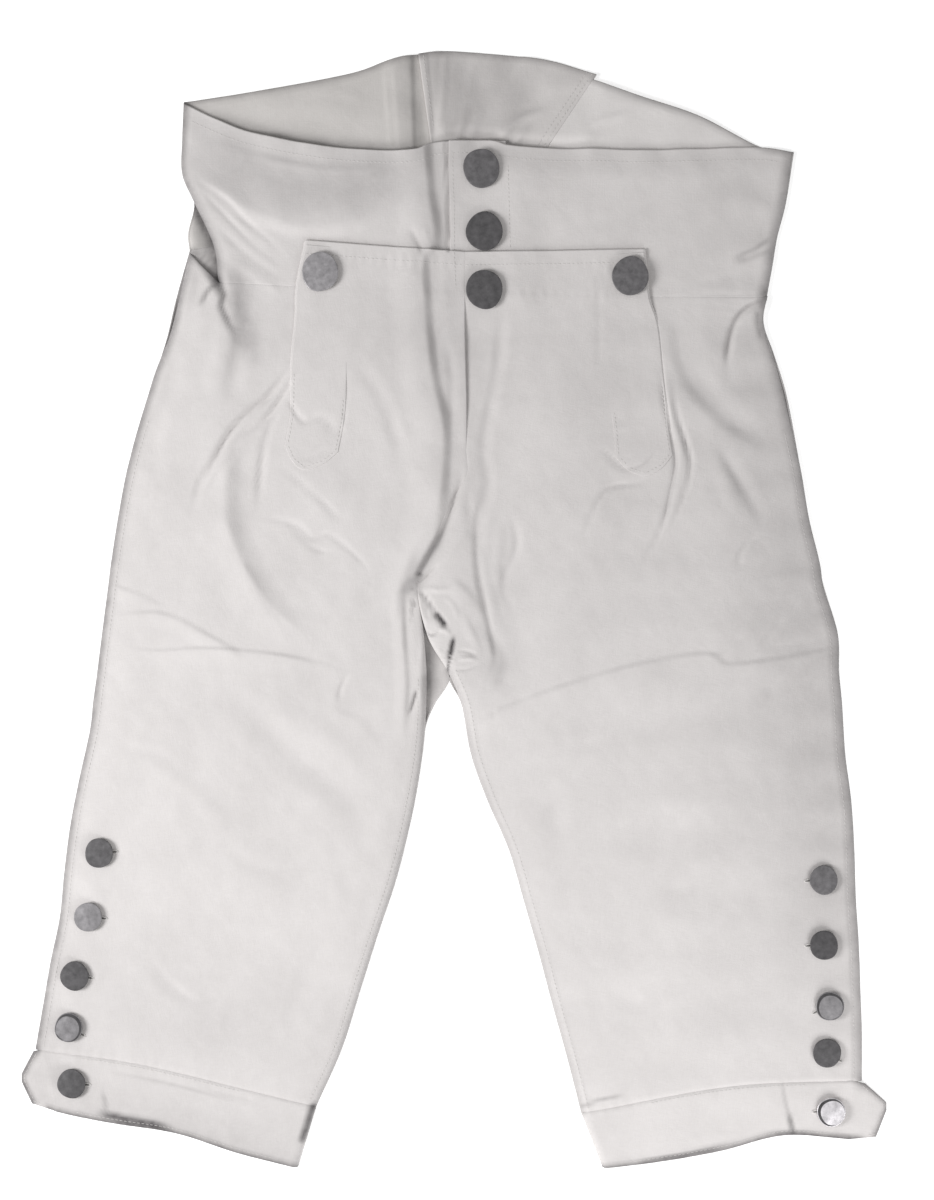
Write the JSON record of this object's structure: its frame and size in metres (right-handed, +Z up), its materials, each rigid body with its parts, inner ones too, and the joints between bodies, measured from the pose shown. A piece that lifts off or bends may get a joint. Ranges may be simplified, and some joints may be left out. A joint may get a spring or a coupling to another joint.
{
  "type": "knee breeches laid flat",
  "caption": "Fall-front knee breeches of white cotton drill with metal buttons and tabbed knee bands, laid flat on their back.",
  "frame": {"origin": "on the surface the breeches lie on, under the middle of their outline", "axes": "+X towards the wearer's left, +Y towards the waist, +Z up, out of the front"},
  "size_m": [0.572, 0.738, 0.013],
  "materials": {
    "drill": "unbleached-white cotton drill, matt, softly creased",
    "drill_inside": "the same drill seen from inside the back, matt",
    "pewter": "dull cast pewter, turned face, lightly worn"
  },
  "bodies": {
    "root": {"back_leg_right": "drill", "back_leg_left": "drill", "front_leg_right": "drill", "front_leg_left": "drill", "front_waistband_right": "drill", "front_waistband_left": "drill", "fall_placket_right": "drill", "fall_placket_left": "drill", "knee_band_right": "drill", "knee_band_left": "drill", "back_waistband_right": "drill_inside", "back_waistband_left": "drill_inside", "back_gusset": "drill_inside", "front_button_1": "pewter", "front_button_2": "pewter", "front_button_3": "pewter", "fall_button_right": "pewter", "fall_button_left": "pewter", "knee_button_right_1": "pewter", "knee_button_right_2": "pewter", "knee_button_right_3": "pewter", "knee_button_right_4": "pewter", "knee_button_right_5": "pewter", "knee_button_left_1": "pewter", "knee_button_left_2": "pewter", "knee_button_left_3": "pewter", "knee_button_left_4": "pewter", "knee_button_left_5": "pewter"}
  },
  "joints": []
}
